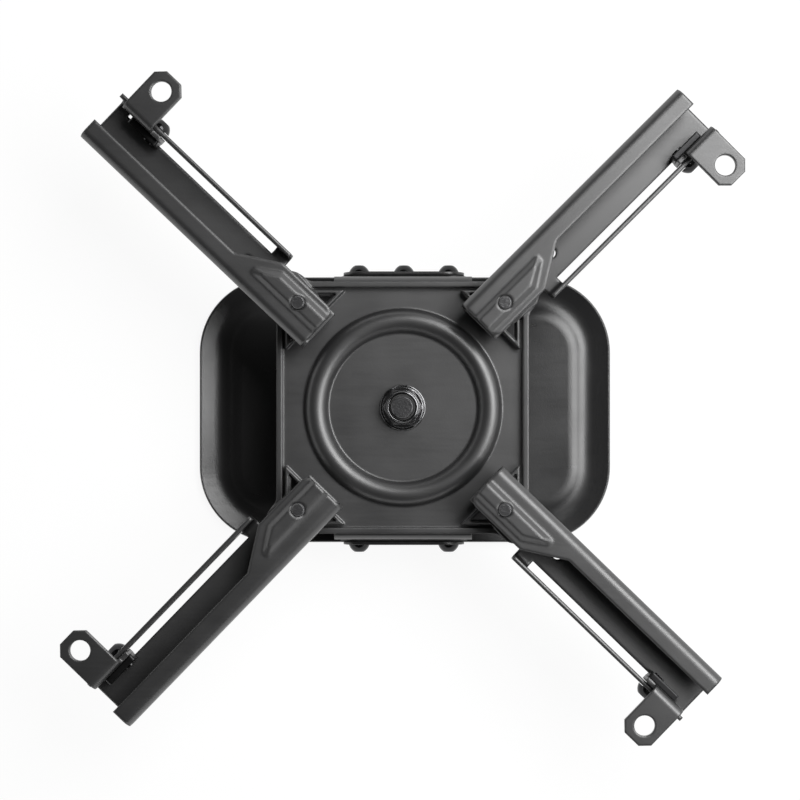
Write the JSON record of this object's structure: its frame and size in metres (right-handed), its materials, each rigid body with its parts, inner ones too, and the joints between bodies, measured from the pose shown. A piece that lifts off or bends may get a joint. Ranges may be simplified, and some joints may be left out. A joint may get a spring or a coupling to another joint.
{
  "type": "projector ceiling mount",
  "caption": "Flush ceiling mount for a projector: pressed ceiling plate, tilt bracket, swivel plate and swinging channel arms with sliding feet.",
  "frame": {"origin": "centre of the ceiling plate's back face, which lies on the ceiling", "axes": "+Z points from the ceiling to the projector, +X along the plate's long side, +Y along the tilt axis"},
  "size_m": [0.2967, 0.2921, 0.073],
  "materials": {
    "black_powder_coat": "satin black powder coat",
    "black_hardware": "glossy black zinc plate",
    "black_nylon": "dull black nylon"
  },
  "bodies": {
    "ceiling_base": {"ceiling_plate": "black_powder_coat"},
    "tilt_yoke": {"tilt_bracket": "black_powder_coat", "tilt_friction_plates": "black_nylon", "tilt_pivot_screw": "black_hardware", "tilt_pivot_pin": "black_hardware", "tilt_lock_screws": "black_hardware", "tilt_nuts": "black_hardware", "swivel_bolt": "black_hardware", "swivel_friction_washer": "black_nylon", "swivel_nut": "black_hardware", "swivel_nut_insert": "black_nylon"},
    "swivel_head": {"swivel_plate": "black_powder_coat"},
    "arm_1_body": {"arm_1": "black_powder_coat", "arm_pivot_bolt_1": "black_hardware", "arm_spacer_1": "black_hardware", "arm_friction_washer_1": "black_nylon"},
    "foot_1_body": {"foot_1": "black_powder_coat", "foot_screw_1": "black_hardware", "foot_clamp_bar_1": "black_hardware"},
    "arm_2_body": {"arm_2": "black_powder_coat", "arm_pivot_bolt_2": "black_hardware", "arm_spacer_2": "black_hardware", "arm_friction_washer_2": "black_nylon"},
    "foot_2_body": {"foot_2": "black_powder_coat", "foot_screw_2": "black_hardware", "foot_clamp_bar_2": "black_hardware"},
    "arm_3_body": {"arm_3": "black_powder_coat", "arm_pivot_bolt_3": "black_hardware", "arm_spacer_3": "black_hardware", "arm_friction_washer_3": "black_nylon"},
    "foot_3_body": {"foot_3": "black_powder_coat", "foot_screw_3": "black_hardware", "foot_clamp_bar_3": "black_hardware"},
    "arm_4_body": {"arm_4": "black_powder_coat", "arm_pivot_bolt_4": "black_hardware", "arm_spacer_4": "black_hardware", "arm_friction_washer_4": "black_nylon"},
    "foot_4_body": {"foot_4": "black_powder_coat", "foot_screw_4": "black_hardware", "foot_clamp_bar_4": "black_hardware"}
  },
  "joints": [
    {"name": "tilt", "type": "hinge", "parent": "ceiling_base", "child": "tilt_yoke", "pos_m": [0, 0, 0.024], "axis": [0, 1, 0], "range_deg": [-15, 15]},
    {"name": "swivel", "type": "hinge", "parent": "tilt_yoke", "child": "swivel_head", "pos_m": [0, 0, 0.046], "axis": [0, 0, 1], "continuous": true},
    {"name": "arm_1_swing", "type": "hinge", "parent": "swivel_head", "child": "arm_1_body", "pos_m": [0.045, 0.045, 0.053], "axis": [0, 0, 1], "range_deg": [-45, 45]},
    {"name": "foot_1_slide", "type": "slide", "parent": "arm_1_body", "child": "foot_1_body", "axis": [-0.7071, -0.7071, 0], "range_m": [0, 0.07]},
    {"name": "arm_2_swing", "type": "hinge", "parent": "swivel_head", "child": "arm_2_body", "pos_m": [-0.045, 0.045, 0.053], "axis": [0, 0, 1], "range_deg": [-46.4, 43.6]},
    {"name": "foot_2_slide", "type": "slide", "parent": "arm_2_body", "child": "foot_2_body", "axis": [0.7242, -0.6896, 0], "range_m": [-0.0035, 0.0665]},
    {"name": "arm_3_swing", "type": "hinge", "parent": "swivel_head", "child": "arm_3_body", "pos_m": [-0.045, -0.045, 0.053], "axis": [0, 0, 1], "range_deg": [-45.9, 44.1]},
    {"name": "foot_3_slide", "type": "slide", "parent": "arm_3_body", "child": "foot_3_body", "axis": [0.6959, 0.7181, 0], "range_m": [0, 0.07]},
    {"name": "arm_4_swing", "type": "hinge", "parent": "swivel_head", "child": "arm_4_body", "pos_m": [0.045, -0.045, 0.053], "axis": [0, 0, 1], "range_deg": [-46, 44]},
    {"name": "foot_4_slide", "type": "slide", "parent": "arm_4_body", "child": "foot_4_body", "axis": [-0.7193, 0.6947, 0], "range_m": [-0.001, 0.069]}
  ]
}
